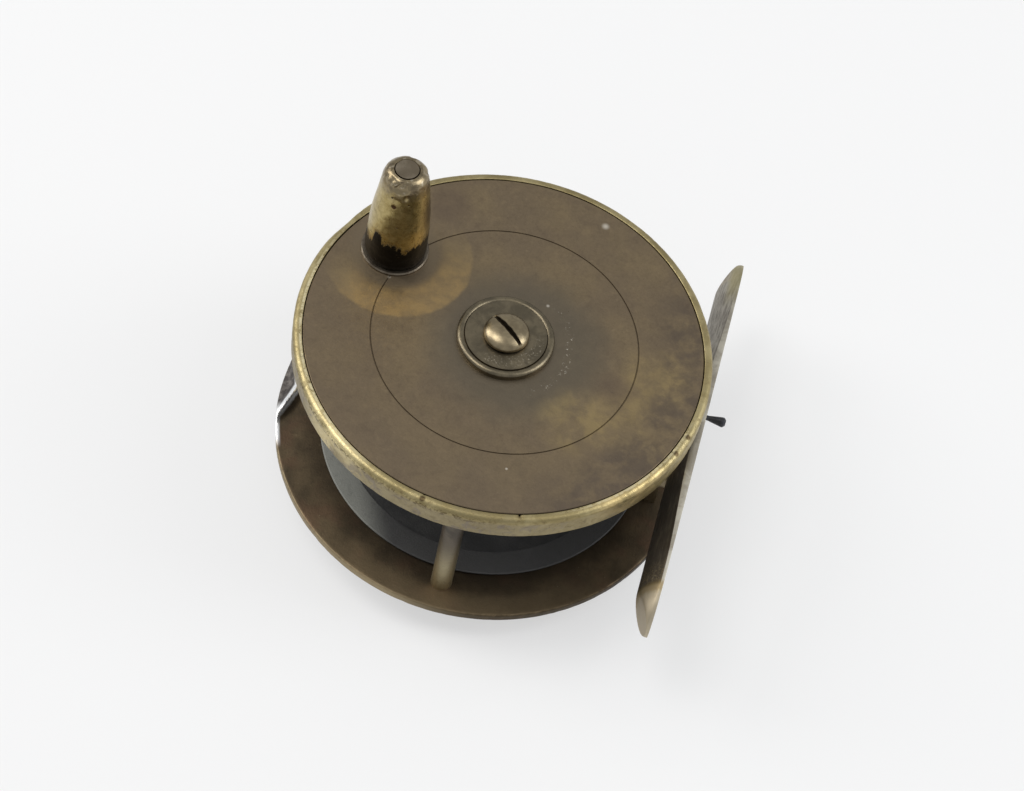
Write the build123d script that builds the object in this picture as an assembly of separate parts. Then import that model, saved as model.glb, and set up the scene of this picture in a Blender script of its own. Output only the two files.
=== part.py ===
"""A small brass fly reel with a handle fixed straight to its winding plate.

Units are millimetres. The spool turns about +Z. The origin is the centre of the flat end of the
axle nut at the back, which the reel rests on, and the foot that fits the rod is on the +X side.
Each function returns one sub-part, already in its place.
"""
import math
import os

from build123d import *

# Driving dimensions, front to back
RIM_R = 35.0
RIM_HEIGHT = 4.53
RIM_WALL = 1.48
RIM_ROUND = 0.95
LEDGE_T = 1.3
CAGE_SPACE = 24.22
REAR_PLATE_R = 36.3
REAR_PLATE_T = 1.6
COVER_R = 16.0
COVER_T = 2.4
NUT_H = 2.45

# Spool
PLATE_GAP = 0.16
PLATE_T = 1.5
GROOVE_R = 22.35
GROOVE_W = 0.3
GROOVE_DEPTH = 0.2
FLANGE_R = 28.6
FLANGE_GAP = 0.3
REAR_FLANGE_T = 0.5
FRONT_FLANGE_T = 0.8
DRUM_R = 9.0
DRUM_WALL = 1.0
BUSH_R = 4.4
BUSH_NECK_R = 3.4
BUSH_SHOULDER_R = 11.0
BOSS_R = 8.15
BOSS_T = 1.22
BEAD_R = 0.62
BEAD_RISE = 0.02

# Axle and its screw
AXLE_R = 2.5
RUNNING = 0.05
END_PLAY = 0.1
AXLE_FLANGE_R = 4.4
AXLE_FLANGE_T = 0.5
AXLE_TAIL_R = 1.8
AXLE_TAIL_LENGTH = 3.0
NUT_R = 3.4
NUT_FLAT_R = 1.7
SCREW_HEAD_R = 3.85
SCREW_HEAD_H = 2.0
SCREW_HEAD_EDGE = 0.95
SCREW_HEAD_FILLET = 0.4
SCREW_SHANK_R = 1.5
SCREW_SHANK_LENGTH = 9.0
SCREW_SLOT_W = 0.75
SCREW_SLOT_DEPTH = 0.95
SCREW_SLOT_ANGLE = -37.0

# Pillars, and the block that carries the foot
PILLAR_R = 1.8
PILLAR_CIRCLE_R = 31.0
PILLAR_ANGLES = (-88.5, 88.5, 180.0)
BLOCK_X = (29.4, 31.9)
BLOCK_HALF_Y = 4.2
SADDLE_X = (30.3, 32.6)
SADDLE_HALF_Y = 8.5
SADDLE_HALF_Z = 4.0
CAGE_SCREW_R = 0.8
CAGE_SCREW_HEAD_R = 1.45
CAGE_SCREW_HEAD_H = 0.75
CAGE_SCREW_DEPTH = 4.0

# Foot
FOOT_OUTER_X = 35.7
FOOT_BACK_X = 32.3
FOOT_EDGE_T = 1.35
FOOT_HALF_WIDTH = 7.2
FOOT_HALF_LENGTH = 38.4
FOOT_SIDE_LENGTH = 27.0
FOOT_SIDE_DROP = 0.7
FOOT_BEVEL_START = 32.0
FOOT_TIP_T = 0.5
FOOT_HOLLOW = 1.5
FOOT_HOLLOW_HALF_WIDTH = 6.4
FOOT_HOLLOW_REACH = 35.0
FOOT_Z_BELOW_PLATE = 13.5
FOOT_SCREW_Y = 5.6
FOOT_SCREW_R = 0.45
SHORT_SCREW_HEAD_R = 1.6
SHORT_SCREW_HEAD_H = 1.1
LONG_SCREW_HEAD_R = 0.86
LONG_SCREW_HEAD_H = 3.0
LONG_SCREW_END_X = 39.5
FOOT_SCREW_TIP_X = 30.9

# Check work behind the rear plate
CAVITY_R = 12.6
COVER_FLOOR = 1.2
COVER_SCREW_CIRCLE_R = 14.3
COVER_SCREW_ANGLES = (45.0, 135.0, 225.0, 315.0)
COVER_SCREW_R = 0.6
COVER_SCREW_HEAD_R = 1.05
COVER_SCREW_HEAD_H = 0.6
COVER_SCREW_LENGTH = 3.8
HUB_R = 3.6
WHEEL_TEETH = 24
WHEEL_TIP_R = 7.2
WHEEL_ROOT_R = 6.0
WHEEL_T = 1.3
PAWL_PIVOT = (7.8, 6.5)
PAWL_BOSS_R = 1.6
PAWL_T = 1.1
PIVOT_R = 0.7
PIVOT_SHOULDER_R = 1.25
PIVOT_HEAD_R = 1.25
SPRING_POST = (1.0, -10.2)
SPRING_POST_R = 1.0
SPRING_EYE_R = 1.45
SPRING_T = 0.35

# Handle
HANDLE_CIRCLE_R = 25.15
HANDLE_ANGLE = 152.6
HANDLE_H = 21.4
COLLAR_R = 5.75
COLLAR_T = 0.5
KNOB_BASE_R = 5.3
KNOB_TOP_R = 4.05
HANDLE_PIN_R = 1.7
HANDLE_HEAD_R = 1.95
HANDLE_HEAD_H = 0.8
HANDLE_TAIL_R = 1.5
WASHER_R = 2.7
WASHER_T = 0.5
RIVET_R = 2.1
RIVET_T = 0.4

# Heights worked out from the driving dimensions
COVER_Z = NUT_H
REAR_BACK_Z = COVER_Z + COVER_T
REAR_TOP_Z = REAR_BACK_Z + REAR_PLATE_T
RIM_Z = REAR_TOP_Z + CAGE_SPACE
PLATE_TOP_Z = RIM_Z + RIM_HEIGHT
PLATE_Z = PLATE_TOP_Z - PLATE_T
REAR_FLANGE_Z = REAR_TOP_Z + FLANGE_GAP
DRUM_Z = REAR_FLANGE_Z + REAR_FLANGE_T
FRONT_FLANGE_Z = RIM_Z + 0.23
SHOULDER_Z = FRONT_FLANGE_Z + FRONT_FLANGE_T
CAVITY_Z = COVER_Z + COVER_FLOOR
HUB_Z = CAVITY_Z + AXLE_FLANGE_T + END_PLAY
WHEEL_Z = HUB_Z + 0.25
PAWL_Z = WHEEL_Z + 0.1
BOSS_TOP_Z = PLATE_TOP_Z + BOSS_T
AXLE_TOP_Z = BOSS_TOP_Z + END_PLAY
FOOT_Z = PLATE_TOP_Z - FOOT_Z_BELOW_PLATE
PLATE_R = RIM_R - RIM_WALL - PLATE_GAP
LEDGE_INNER_R = FLANGE_R + 0.35
BLOCK_MID_X = (BLOCK_X[0] + BLOCK_X[1]) / 2


def at_polar(radius, angle, z):
    """A location at a radius and an angle in degrees round the spool's axis."""
    a = math.radians(angle)
    return Pos(radius * math.cos(a), radius * math.sin(a), z)


def rod(radius, height):
    """A cylinder that stands on z = 0."""
    return Cylinder(radius, height, align=(Align.CENTER, Align.CENTER, Align.MIN))


def tapered(bottom_radius, top_radius, height):
    """A cone that stands on z = 0."""
    return Cone(bottom_radius, top_radius, height, align=(Align.CENTER, Align.CENTER, Align.MIN))


def ring(outer_radius, inner_radius, height):
    return rod(outer_radius, height) - rod(inner_radius, height)


def turned(points):
    """A solid of revolution about Z from its half outline of (radius, z) points."""
    outline = Polyline(*[(r, 0, z) for r, z in points], close=True)
    return revolve(make_face(outline), Axis.Z)


def only_solid(shape):
    """The single solid that a boolean result holds."""
    return shape.solids()[0]


def pillar_places(z):
    return [at_polar(PILLAR_CIRCLE_R, a, z) for a in PILLAR_ANGLES]


def cage_screw_places(z):
    return pillar_places(z) + [Pos(BLOCK_MID_X, 0, z)]


def cover_screw_places(z):
    return [at_polar(COVER_SCREW_CIRCLE_R, a, z) for a in COVER_SCREW_ANGLES]


def handle_place(z):
    return at_polar(HANDLE_CIRCLE_R, HANDLE_ANGLE, z)


def countersunk_hole(shank_r, head_r, head_h, length):
    """What a countersunk hole takes out, with its wide mouth on z = 0."""
    return tapered(head_r, shank_r, head_h) + rod(shank_r, length)


def countersunk_screw(shank_r, head_r, head_h, length):
    """A screw that fills such a hole, with a slot across its flat head."""
    slot = Box(3 * head_r, 0.3 * head_r, 0.8 * head_h)
    return countersunk_hole(shank_r, head_r, head_h, length) - slot


# Frame

def rear_plate():
    plate = rod(REAR_PLATE_R, REAR_PLATE_T)
    plate = chamfer(plate.edges().sort_by(Axis.Z)[-1], 0.25)
    plate = Pos(0, 0, REAR_BACK_Z) * plate
    plate -= Pos(0, 0, REAR_BACK_Z) * rod(CAVITY_R, REAR_PLATE_T)
    hole = countersunk_hole(CAGE_SCREW_R, CAGE_SCREW_HEAD_R, CAGE_SCREW_HEAD_H, REAR_PLATE_T)
    for place in cage_screw_places(REAR_BACK_Z):
        plate -= place * hole
    for place in cover_screw_places(REAR_BACK_Z):
        plate -= place * rod(COVER_SCREW_R, REAR_PLATE_T)
    return plate


def front_rim():
    """A rim wall, rounded at its front, with an inner ledge that takes the pillars."""
    wall = Pos(0, 0, RIM_Z) * ring(RIM_R, RIM_R - RIM_WALL, RIM_HEIGHT)
    front_edges = wall.edges().filter_by(GeomType.CIRCLE).group_by(Axis.Z)[-1]
    wall = fillet(front_edges.sort_by(SortBy.RADIUS)[-1], RIM_ROUND)
    ledge = Pos(0, 0, RIM_Z) * ring(RIM_R - RIM_WALL + 0.5, LEDGE_INNER_R, LEDGE_T)
    rim = wall + ledge
    hole = countersunk_hole(CAGE_SCREW_R, CAGE_SCREW_HEAD_R, CAGE_SCREW_HEAD_H, LEDGE_T)
    for place in cage_screw_places(RIM_Z + LEDGE_T):
        rim -= place * Rot(180, 0, 0) * hole
    return rim


def pillars():
    """Three round pillars, tapped at both ends."""
    solids = []
    for place in pillar_places(REAR_TOP_Z):
        pillar = rod(PILLAR_R, CAGE_SPACE)
        hole_depth = CAGE_SCREW_DEPTH - REAR_PLATE_T
        pillar -= rod(CAGE_SCREW_R, hole_depth)
        front_depth = CAGE_SCREW_DEPTH - LEDGE_T
        pillar -= Pos(0, 0, CAGE_SPACE - front_depth) * rod(CAGE_SCREW_R, front_depth)
        solids.append(only_solid(place * pillar))
    return Compound(solids)


def rear_cage_screws():
    screw = countersunk_screw(CAGE_SCREW_R, CAGE_SCREW_HEAD_R, CAGE_SCREW_HEAD_H, CAGE_SCREW_DEPTH)
    return Compound([only_solid(place * screw) for place in cage_screw_places(REAR_BACK_Z)])


def front_cage_screws():
    screw = countersunk_screw(CAGE_SCREW_R, CAGE_SCREW_HEAD_R, CAGE_SCREW_HEAD_H, CAGE_SCREW_DEPTH)
    places = cage_screw_places(RIM_Z + LEDGE_T)
    return Compound([only_solid(place * Rot(180, 0, 0) * screw) for place in places])


def foot_block():
    """A post between rear plate and rim, with a saddle across it that the foot sits on."""
    post_size = (BLOCK_X[1] - BLOCK_X[0], 2 * BLOCK_HALF_Y, CAGE_SPACE)
    post = Pos(BLOCK_MID_X, 0, REAR_TOP_Z + CAGE_SPACE / 2) * Box(*post_size)
    saddle = Box(SADDLE_X[1] - SADDLE_X[0], 2 * SADDLE_HALF_Y, 2 * SADDLE_HALF_Z)
    saddle = fillet(saddle.edges().filter_by(Axis.X), 1.2)
    block = post + Pos(sum(SADDLE_X) / 2, 0, FOOT_Z) * saddle
    rear_depth = CAGE_SCREW_DEPTH - REAR_PLATE_T
    front_depth = CAGE_SCREW_DEPTH - LEDGE_T
    block -= Pos(BLOCK_MID_X, 0, REAR_TOP_Z) * rod(CAGE_SCREW_R, rear_depth)
    block -= Pos(BLOCK_MID_X, 0, RIM_Z - front_depth) * rod(CAGE_SCREW_R, front_depth)
    block -= foot_screw_holes()
    return block


def foot_screw_holes():
    """The two holes that run through foot and saddle."""
    hole = Rot(0, 90, 0) * rod(FOOT_SCREW_R, 20)
    places = [Pos(FOOT_SCREW_TIP_X, y, FOOT_Z) for y in (-FOOT_SCREW_Y, FOOT_SCREW_Y)]
    return [place * hole for place in places]


def foot_side_view():
    """The foot's outline seen along X: nearly straight sides and rounded tips."""
    shoulder = FOOT_HALF_WIDTH - FOOT_SIDE_DROP
    near_tip = 0.62 * FOOT_HALF_WIDTH
    reach = FOOT_HALF_LENGTH - FOOT_SIDE_LENGTH
    corner = (FOOT_SIDE_LENGTH + 0.78 * reach, near_tip)
    side = ThreePointArc((-FOOT_SIDE_LENGTH, shoulder), (0, FOOT_HALF_WIDTH), (FOOT_SIDE_LENGTH, shoulder))
    tip = Spline(
        (FOOT_SIDE_LENGTH, shoulder), corner, (FOOT_HALF_LENGTH, 0),
        tangents=[(1, -0.06), (0, -1)],
    )
    quarter = [tip, mirror(tip, Plane.XZ)]
    ends = quarter + [mirror(c, Plane.YZ) for c in quarter]
    outline = make_face([side, mirror(side, Plane.XZ)] + ends)
    return Plane((0, 0, FOOT_Z), x_dir=(0, 1, 0), z_dir=(1, 0, 0)) * outline


def foot_section():
    """The foot's section across its width: a domed back towards the reel and a straight front."""
    edge_x = FOOT_OUTER_X - FOOT_EDGE_T
    half = FOOT_HALF_WIDTH
    back = ThreePointArc((edge_x, -half), (FOOT_BACK_X, 0), (edge_x, half))
    rest = Polyline((edge_x, half), (FOOT_OUTER_X, half), (FOOT_OUTER_X, -half), (edge_x, -half))
    return Plane((0, 0, FOOT_Z), x_dir=(1, 0, 0), z_dir=(0, -1, 0)) * make_face([back, rest])


def foot_end_bevel(side):
    """What the bevel takes off the back of one end, side being +1 or -1."""
    tip_x = FOOT_OUTER_X - FOOT_TIP_T
    end_y = FOOT_HALF_LENGTH + 1
    slope = (tip_x - FOOT_BACK_X) / (FOOT_HALF_LENGTH - FOOT_BEVEL_START)
    corners = [
        (FOOT_BACK_X - 1, side * (FOOT_BEVEL_START - 1 / slope)),
        (tip_x + slope, side * end_y),
        (FOOT_BACK_X - 1, side * end_y),
    ]
    face = make_face(Polyline(*corners, close=True))
    return Pos(0, 0, FOOT_Z) * extrude(face, 2 * FOOT_HALF_WIDTH, both=True)


def foot_hollow():
    """The long shallow hollow in the front, which fits the round of a rod and runs out to the tips."""
    across_r = (FOOT_HOLLOW_HALF_WIDTH**2 + FOOT_HOLLOW**2) / (2 * FOOT_HOLLOW)
    along_r = (FOOT_HOLLOW_REACH**2 + FOOT_HOLLOW**2) / (2 * FOOT_HOLLOW)
    deepest_x = FOOT_OUTER_X - FOOT_HOLLOW
    circle = Pos(deepest_x + across_r, 0, FOOT_Z) * Rot(90, 0, 0) * Circle(across_r)
    pivot = Axis((deepest_x + along_r, 0, 0), (0, 0, 1))
    sweep_angle = 12.0
    return revolve(circle.rotate(pivot, -sweep_angle / 2), pivot, sweep_angle)


def foot():
    length = 2 * FOOT_HALF_LENGTH
    blade = Pos(0, length / 2, 0) * extrude(foot_section(), length)
    blade &= Pos(FOOT_BACK_X - 1, 0, 0) * extrude(foot_side_view(), FOOT_OUTER_X - FOOT_BACK_X + 2)
    for side in (-1, 1):
        blade -= foot_end_bevel(side)
    seat_depth = SADDLE_X[1] - FOOT_BACK_X + 1
    seat = Box(seat_depth, 2 * SADDLE_HALF_Y + 1, 3 * FOOT_HALF_WIDTH)
    blade -= Pos(SADDLE_X[1] - seat_depth / 2, 0, FOOT_Z) * seat
    blade -= foot_screw_holes()
    blade -= Pos(short_screw_x(), -FOOT_SCREW_Y, FOOT_Z) * Rot(0, -90, 0) * short_screw_sink()
    blade -= foot_hollow()
    return only_solid(blade)


def short_screw_x():
    """Where the flat head of the short foot screw lies, just under the hollow's floor."""
    return FOOT_OUTER_X - FOOT_HOLLOW + 0.04


def short_screw_sink():
    """The countersink for the short screw's head, open towards the rod."""
    cone = tapered(SHORT_SCREW_HEAD_R, FOOT_SCREW_R, SHORT_SCREW_HEAD_H)
    return cone + Pos(0, 0, -2) * rod(SHORT_SCREW_HEAD_R, 2)


def foot_screw_short():
    length = short_screw_x() - FOOT_SCREW_TIP_X
    screw = countersunk_screw(FOOT_SCREW_R, SHORT_SCREW_HEAD_R, SHORT_SCREW_HEAD_H, length)
    return Pos(short_screw_x(), -FOOT_SCREW_Y, FOOT_Z) * Rot(0, -90, 0) * screw


def foot_screw_long():
    """A replacement screw with a slim cone head. It is too long for its hole and stands proud."""
    length = LONG_SCREW_END_X - FOOT_SCREW_TIP_X
    end = 0.35
    points = [
        (0, 0),
        (0.6 * LONG_SCREW_HEAD_R, 0),
        (LONG_SCREW_HEAD_R, end),
        (LONG_SCREW_HEAD_R, 2 * end),
        (FOOT_SCREW_R, LONG_SCREW_HEAD_H),
        (FOOT_SCREW_R, length),
        (0, length),
    ]
    return Pos(LONG_SCREW_END_X, FOOT_SCREW_Y, FOOT_Z) * Rot(0, -90, 0) * turned(points)


# Check work and axle

def check_cover():
    """The raised round cover on the back, which holds the axle and houses the check."""
    cover = rod(COVER_R, COVER_T)
    cover = fillet(cover.edges().sort_by(Axis.Z)[0], 0.9)
    cover -= Pos(0, 0, COVER_FLOOR) * rod(CAVITY_R, COVER_T - COVER_FLOOR)
    cover -= rod(AXLE_TAIL_R, COVER_FLOOR)
    hole = countersunk_hole(COVER_SCREW_R, COVER_SCREW_HEAD_R, COVER_SCREW_HEAD_H, COVER_T)
    for place in cover_screw_places(0):
        cover -= place * hole
    for x, y in (PAWL_PIVOT, SPRING_POST):
        cover -= Pos(x, y, 0) * rod(PIVOT_R, COVER_FLOOR)
    return Pos(0, 0, COVER_Z) * cover


def cover_screws():
    screw = countersunk_screw(COVER_SCREW_R, COVER_SCREW_HEAD_R, COVER_SCREW_HEAD_H, COVER_SCREW_LENGTH)
    return Compound([only_solid(place * screw) for place in cover_screw_places(COVER_Z)])


def axle():
    """The fixed axle: a threaded tail, a flange inside the cover and the journal for the spool."""
    tail_z = CAVITY_Z - AXLE_TAIL_LENGTH
    shaft = Pos(0, 0, tail_z) * rod(AXLE_TAIL_R, AXLE_TAIL_LENGTH)
    shaft += Pos(0, 0, CAVITY_Z) * rod(AXLE_FLANGE_R, AXLE_FLANGE_T)
    shaft += Pos(0, 0, CAVITY_Z) * rod(AXLE_R, AXLE_TOP_Z - CAVITY_Z)
    shaft -= Pos(0, 0, AXLE_TOP_Z - SCREW_SHANK_LENGTH) * rod(SCREW_SHANK_R, SCREW_SHANK_LENGTH)
    return shaft


def axle_nut():
    """The domed nut on the axle's tail, flat at its crown, which is the lowest point of the reel."""
    body = turned([
        (0, 0), (NUT_FLAT_R, 0), (2.6, 0.4), (3.15, 1.0), (NUT_R, 1.7), (NUT_R, NUT_H), (0, NUT_H),
    ])
    bore_z = CAVITY_Z - AXLE_TAIL_LENGTH
    return body - Pos(0, 0, bore_z) * rod(AXLE_TAIL_R, NUT_H - bore_z)


def centre_screw():
    """The slotted domed screw that keeps the spool on its axle."""
    dome_h = SCREW_HEAD_H - SCREW_HEAD_EDGE
    sphere_r = (SCREW_HEAD_R**2 + dome_h**2) / (2 * dome_h)
    head = rod(SCREW_HEAD_R, SCREW_HEAD_H) & Pos(0, 0, SCREW_HEAD_H - sphere_r) * Sphere(sphere_r)
    side = head.faces().filter_by(GeomType.CYLINDER)[0]
    head = fillet(side.edges().filter_by(GeomType.CIRCLE).sort_by(Axis.Z)[-1], SCREW_HEAD_FILLET)
    slot = Box(3 * SCREW_HEAD_R, SCREW_SLOT_W, 2 * SCREW_SLOT_DEPTH)
    head -= Pos(0, 0, SCREW_HEAD_H) * Rot(0, 0, SCREW_SLOT_ANGLE) * slot
    screw = head + Pos(0, 0, -SCREW_SHANK_LENGTH) * rod(SCREW_SHANK_R, SCREW_SHANK_LENGTH)
    return Pos(0, 0, AXLE_TOP_Z) * screw


def shoulder_post(x, y, pin_r, shoulder_r, head_r, seat_z, seat_t):
    """A riveted post: a pin from the cover's floor, a shoulder below the seat and a head above it."""
    play = 0.06
    post = Pos(0, 0, COVER_Z) * rod(PIVOT_R, COVER_FLOOR)
    post += Pos(0, 0, CAVITY_Z) * rod(shoulder_r, seat_z - CAVITY_Z - play)
    post += Pos(0, 0, CAVITY_Z) * rod(pin_r, seat_z + seat_t + play - CAVITY_Z)
    post += Pos(0, 0, seat_z + seat_t + play) * rod(head_r, 0.4)
    return Pos(x, y, 0) * post


def pawl_pivot():
    return shoulder_post(*PAWL_PIVOT, PIVOT_R, PIVOT_SHOULDER_R, PIVOT_HEAD_R, PAWL_Z, PAWL_T)


def spring_post():
    eye_r = SPRING_POST_R
    return shoulder_post(*SPRING_POST, eye_r, SPRING_EYE_R, SPRING_EYE_R, PAWL_Z, PAWL_T)


def check_spring():
    """A leaf with an eye round its post. Its free end lies on the back of the pawl."""
    x, y = SPRING_POST
    start = (x + SPRING_POST_R + SPRING_T, y)
    leaf_line = ThreePointArc(start, (7.1, -6.3), (8.42, -0.1))
    section = Plane(leaf_line @ 0, x_dir=(0, 0, 1), z_dir=leaf_line % 0) * Rectangle(PAWL_T, SPRING_T)
    leaf = sweep(section, leaf_line)
    eye = ring(SPRING_EYE_R, SPRING_POST_R + 0.02, PAWL_T)
    leaf = Pos(0, 0, PAWL_Z + PAWL_T / 2) * leaf
    leaf -= Pos(x, y, PAWL_Z) * rod(SPRING_POST_R + 0.02, PAWL_T)
    return leaf + Pos(x, y, PAWL_Z) * eye


def pawl():
    """A pointed tongue in a gap of the check wheel. It swings outwards about its pivot."""
    outline = Polyline(
        (6.4, 0), (7.4, 0.55), (7.55, 1.4), (7.3, 3.4), (6.3, 6.0),
        (9.3, 6.0), (8.6, 2.5), (8.18, -0.7), (7.4, -0.55),
        close=True,
    )
    body = extrude(make_face(outline), PAWL_T)
    body += Pos(*PAWL_PIVOT, 0) * rod(PAWL_BOSS_R, PAWL_T)
    body -= Pos(*PAWL_PIVOT, 0) * rod(PIVOT_R + RUNNING, PAWL_T)
    return Pos(0, 0, PAWL_Z) * body


# Spool

def check_wheel():
    """A disc with pointed teeth. A gap, not a tooth, lies on +X where the pawl's point rests."""
    pitch = 360 / WHEEL_TEETH
    points = []
    for tooth in range(WHEEL_TEETH):
        for radius, step in ((WHEEL_ROOT_R, 0.0), (WHEEL_TIP_R, 0.42), (WHEEL_TIP_R, 0.58)):
            angle = math.radians((tooth + step) * pitch)
            points.append((radius * math.cos(angle), radius * math.sin(angle)))
    wheel = extrude(make_face(Polyline(*points, close=True)), WHEEL_T)
    return Pos(0, 0, WHEEL_Z) * (wheel - rod(HUB_R, WHEEL_T))


def spool_bush():
    """The turned bush that runs on the axle, with a hub for the wheel and a wide front shoulder."""
    bush = turned([
        (AXLE_R + RUNNING, HUB_Z),
        (HUB_R, HUB_Z),
        (HUB_R, REAR_FLANGE_Z),
        (BUSH_R, REAR_FLANGE_Z),
        (BUSH_R, SHOULDER_Z),
        (BUSH_SHOULDER_R, SHOULDER_Z),
        (BUSH_SHOULDER_R, PLATE_Z),
        (BUSH_NECK_R, PLATE_Z),
        (BUSH_NECK_R, BOSS_TOP_Z),
        (AXLE_R + RUNNING, BOSS_TOP_Z),
    ])
    return bush


def rear_flange():
    flange = ring(FLANGE_R, BUSH_R, REAR_FLANGE_T)
    return Pos(0, 0, REAR_FLANGE_Z) * flange


def front_flange():
    flange = ring(FLANGE_R, BUSH_R, FRONT_FLANGE_T)
    return Pos(0, 0, FRONT_FLANGE_Z) * flange


def drum():
    """The barrel that the line winds on, with a small hole to tie the line in."""
    length = FRONT_FLANGE_Z - DRUM_Z
    barrel = Pos(0, 0, DRUM_Z) * ring(DRUM_R, DRUM_R - DRUM_WALL, length)
    line_hole = Rot(0, 90, 0) * rod(0.7, DRUM_R + 1)
    return barrel - Pos(0, 0, DRUM_Z + 3) * line_hole


def winding_plate():
    """The big front disc, with an engraved ring and a softened edge."""
    plate = rod(PLATE_R, PLATE_T)
    plate = chamfer(plate.edges().sort_by(Axis.Z)[-1], 0.15)
    groove = ring(GROOVE_R + GROOVE_W / 2, GROOVE_R - GROOVE_W / 2, GROOVE_DEPTH)
    plate -= Pos(0, 0, PLATE_T - GROOVE_DEPTH) * groove
    plate -= rod(BUSH_NECK_R, PLATE_T)
    plate -= handle_place(0) * rod(HANDLE_TAIL_R, PLATE_T)
    return Pos(0, 0, PLATE_Z) * plate


def hub_disc():
    """The raised disc in the middle of the plate, edged with a full round bead."""
    bead = Pos(0, 0, BOSS_T - BEAD_R + BEAD_RISE) * Torus(BOSS_R - BEAD_R, BEAD_R)
    core = ring(BOSS_R - BEAD_R, BUSH_NECK_R, BOSS_T)
    return Pos(0, 0, PLATE_TOP_Z) * (core + bead)


# Handle

def handle_collar():
    disc = rod(COLLAR_R, COLLAR_T)
    disc = chamfer(disc.edges().sort_by(Axis.Z)[-1], 0.2)
    return handle_place(PLATE_TOP_Z) * (disc - rod(HANDLE_PIN_R, COLLAR_T))


def handle_pin():
    """The pin that the knob turns on: a flat head on top and a tail riveted below the plate."""
    tail_length = PLATE_T + WASHER_T
    pin = rod(HANDLE_PIN_R, HANDLE_H)
    pin += Pos(0, 0, HANDLE_H - HANDLE_HEAD_H) * rod(HANDLE_HEAD_R, HANDLE_HEAD_H)
    pin += Pos(0, 0, -tail_length) * rod(HANDLE_TAIL_R, tail_length)
    pin += Pos(0, 0, -tail_length - RIVET_T) * tapered(0.7 * RIVET_R, RIVET_R, RIVET_T)
    return handle_place(PLATE_TOP_Z) * pin


def handle_washer():
    washer = ring(WASHER_R, HANDLE_TAIL_R, WASHER_T)
    return handle_place(PLATE_Z - WASHER_T) * washer


def handle_knob():
    """The tapered knob, nearly straight at the bottom and rounded over at the top."""
    bottom = COLLAR_T + 0.08
    side = Spline(
        (KNOB_BASE_R, 0, 1.2), (KNOB_BASE_R - 0.12, 0, 7.0), (KNOB_BASE_R - 0.5, 0, 12.0),
        (KNOB_TOP_R + 0.22, 0, 16.0), (KNOB_TOP_R - 0.12, 0, 19.4),
        tangents=[(0, 0, 1), (-0.1, 0, 1)],
    )
    shoulder = Spline(
        (KNOB_TOP_R - 0.12, 0, 19.4), (KNOB_TOP_R - 0.5, 0, 20.7), (HANDLE_HEAD_R + 0.7, 0, HANDLE_H - 0.1),
        tangents=[(-0.1, 0, 1), (-1, 0, 0.1)],
    )
    bore_r = HANDLE_PIN_R + RUNNING
    rest = Polyline(
        (HANDLE_HEAD_R + 0.7, 0, HANDLE_H - 0.1), (bore_r, 0, HANDLE_H - 0.1),
        (bore_r, 0, bottom), (KNOB_BASE_R - 0.15, 0, bottom), (KNOB_BASE_R, 0, 1.2),
    )
    knob = revolve(make_face([side, shoulder, rest]), Axis.Z)
    sink_h = HANDLE_HEAD_H + RUNNING
    knob -= Pos(0, 0, HANDLE_H - sink_h) * rod(HANDLE_HEAD_R + RUNNING, sink_h)
    return handle_place(PLATE_TOP_Z) * knob


SUB_PARTS = [
    rear_plate, front_rim, pillars, rear_cage_screws, front_cage_screws,
    foot_block, foot, foot_screw_short, foot_screw_long,
    check_cover, cover_screws, axle, axle_nut, centre_screw,
    pawl_pivot, spring_post, check_spring, pawl,
    check_wheel, spool_bush, rear_flange, front_flange, drum, winding_plate, hub_disc,
    handle_collar, handle_pin, handle_washer, handle_knob,
]

os.makedirs("parts", exist_ok=True)
for make in SUB_PARTS:
    export_step(make(), f"parts/{make.__name__}.step")
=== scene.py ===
"""The looks of the old brass fly reel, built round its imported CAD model.

Metres throughout, in the CAD model's frame: the spool turns about +Z and the foot is on the +X side.
Materials count in millimetres, because their features are that small.
"""

import math

import bmesh
import bpy
from mathutils import Matrix, Vector, noise


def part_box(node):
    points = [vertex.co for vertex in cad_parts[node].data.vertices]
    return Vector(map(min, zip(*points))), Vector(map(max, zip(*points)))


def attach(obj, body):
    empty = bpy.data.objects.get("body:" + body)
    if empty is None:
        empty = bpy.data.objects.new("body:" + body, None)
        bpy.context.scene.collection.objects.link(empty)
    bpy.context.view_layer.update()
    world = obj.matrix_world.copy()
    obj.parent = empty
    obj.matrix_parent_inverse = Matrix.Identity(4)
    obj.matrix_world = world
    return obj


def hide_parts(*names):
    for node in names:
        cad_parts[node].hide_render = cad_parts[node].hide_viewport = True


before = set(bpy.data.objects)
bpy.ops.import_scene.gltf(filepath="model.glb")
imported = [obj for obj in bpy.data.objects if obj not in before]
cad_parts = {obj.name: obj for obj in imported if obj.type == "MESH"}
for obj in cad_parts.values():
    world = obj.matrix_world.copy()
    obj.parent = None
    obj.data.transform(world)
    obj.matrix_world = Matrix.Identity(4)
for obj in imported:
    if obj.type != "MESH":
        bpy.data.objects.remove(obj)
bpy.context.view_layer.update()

MM = 0.001
TURN = 2 * math.pi
STUDIO_LEVEL = 0.78  # how bright the studio shows in a perfect mirror, as linear light

# Places read from the CAD model
PLATE_LOW, PLATE_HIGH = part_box("winding_plate")
RIM_LOW, RIM_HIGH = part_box("front_rim")
REAR_LOW, REAR_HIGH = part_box("rear_plate")
FLANGE_LOW, FLANGE_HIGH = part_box("rear_flange")
HUB_LOW, HUB_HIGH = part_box("hub_disc")
SCREW_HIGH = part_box("centre_screw")[1]
FOOT_LOW, FOOT_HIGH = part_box("foot")
SINK_LOW, SINK_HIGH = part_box("foot_screw_short")
KNOB_LOW, KNOB_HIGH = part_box("handle_knob")
HANDLE = (KNOB_LOW + KNOB_HIGH) / 2
HANDLE_X, HANDLE_Y = HANDLE.x / MM, HANDLE.y / MM
PLATE_TOP = PLATE_HIGH.z

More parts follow.
